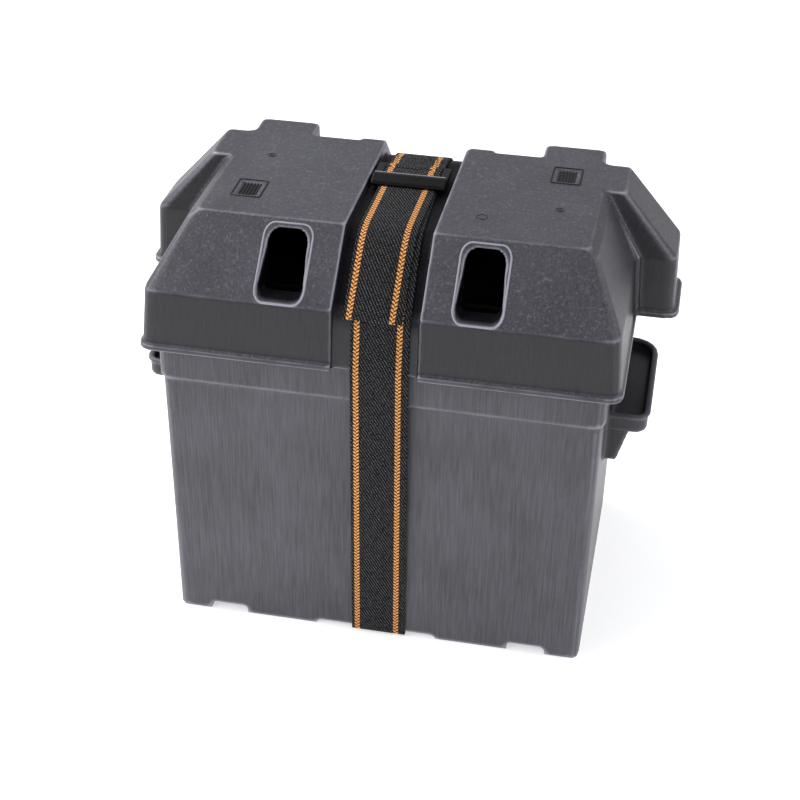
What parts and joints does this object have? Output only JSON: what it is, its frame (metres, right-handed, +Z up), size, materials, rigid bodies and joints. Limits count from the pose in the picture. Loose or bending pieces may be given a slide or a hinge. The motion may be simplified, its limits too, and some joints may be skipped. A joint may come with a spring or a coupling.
{
  "type": "strapped battery box",
  "caption": "Lidded plastic box with carry handles, vents, hold-down strap and ladder-lock buckle, holding a deep-cycle battery.",
  "frame": {"origin": "middle of the footprint, on the ground", "axes": "+X along the box, +Y from the front with the vents to the back, +Z up"},
  "size_m": [0.359, 0.2174, 0.2965],
  "materials": {
    "box_plastic": "moulded, satin, scuffed",
    "webbing": "woven, two orange stripes",
    "buckle_plastic": "moulded nylon",
    "battery_plastic": "moulded, satin",
    "cap_plastic": "moulded",
    "lead": "cast lead",
    "steel": "stainless",
    "positive_plate": "lead dioxide paste",
    "negative_plate": "sponge lead paste",
    "separator": "microporous sheet"
  },
  "bodies": {
    "root": {"box_tub": "box_plastic", "strap_under_box": "webbing", "battery_case": "battery_plastic", "battery_cover": "battery_plastic", "positive_post": "lead", "negative_post": "lead", "positive_stud": "steel", "negative_stud": "steel", "cell_1_positive_plates": "positive_plate", "cell_1_negative_plates": "negative_plate", "cell_1_separator": "separator", "cell_2_positive_plates": "positive_plate", "cell_2_negative_plates": "negative_plate", "cell_2_separator": "separator", "cell_3_positive_plates": "positive_plate", "cell_3_negative_plates": "negative_plate", "cell_3_separator": "separator", "cell_4_positive_plates": "positive_plate", "cell_4_negative_plates": "negative_plate", "cell_4_separator": "separator", "cell_5_positive_plates": "positive_plate", "cell_5_negative_plates": "negative_plate", "cell_5_separator": "separator", "cell_6_positive_plates": "positive_plate", "cell_6_negative_plates": "negative_plate", "cell_6_separator": "separator", "cell_link_1": "lead", "cell_link_2": "lead", "cell_link_3": "lead", "cell_link_4": "lead", "cell_link_5": "lead"},
    "lid": {"box_lid": "box_plastic", "strap_front": "webbing", "strap_rear": "webbing", "strap_tail": "webbing"},
    "buckle": {"strap_buckle": "buckle_plastic", "strap_buckle_loop": "webbing"},
    "left_vent_cap": {"vent_cap_left": "cap_plastic"},
    "right_vent_cap": {"vent_cap_right": "cap_plastic"},
    "positive_nut": {"positive_wing_nut": "steel"},
    "negative_nut": {"negative_wing_nut": "steel"}
  },
  "joints": [
    {"name": "lid_lift", "type": "slide", "parent": "root", "child": "lid", "axis": [0, 0, 1], "range_m": [0, 0.06]},
    {"name": "buckle_tip", "type": "hinge", "parent": "lid", "child": "buckle", "pos_m": [-0.0015, 0.02625, 0.29145], "axis": [-1, 0, 0], "range_deg": [0, 40]},
    {"name": "left_cap_lift", "type": "slide", "parent": "root", "child": "left_vent_cap", "axis": [0, 0, 1], "range_m": [0, 0.018]},
    {"name": "right_cap_lift", "type": "slide", "parent": "root", "child": "right_vent_cap", "axis": [0, 0, 1], "range_m": [0, 0.018]},
    {"name": "positive_nut_spin", "type": "hinge", "parent": "root", "child": "positive_nut", "pos_m": [-0.10479, -0.055, 0.2289], "axis": [0, 0, 1], "continuous": true},
    {"name": "negative_nut_spin", "type": "hinge", "parent": "root", "child": "negative_nut", "pos_m": [0.10479, -0.055, 0.2289], "axis": [0, 0, 1], "continuous": true}
  ]
}
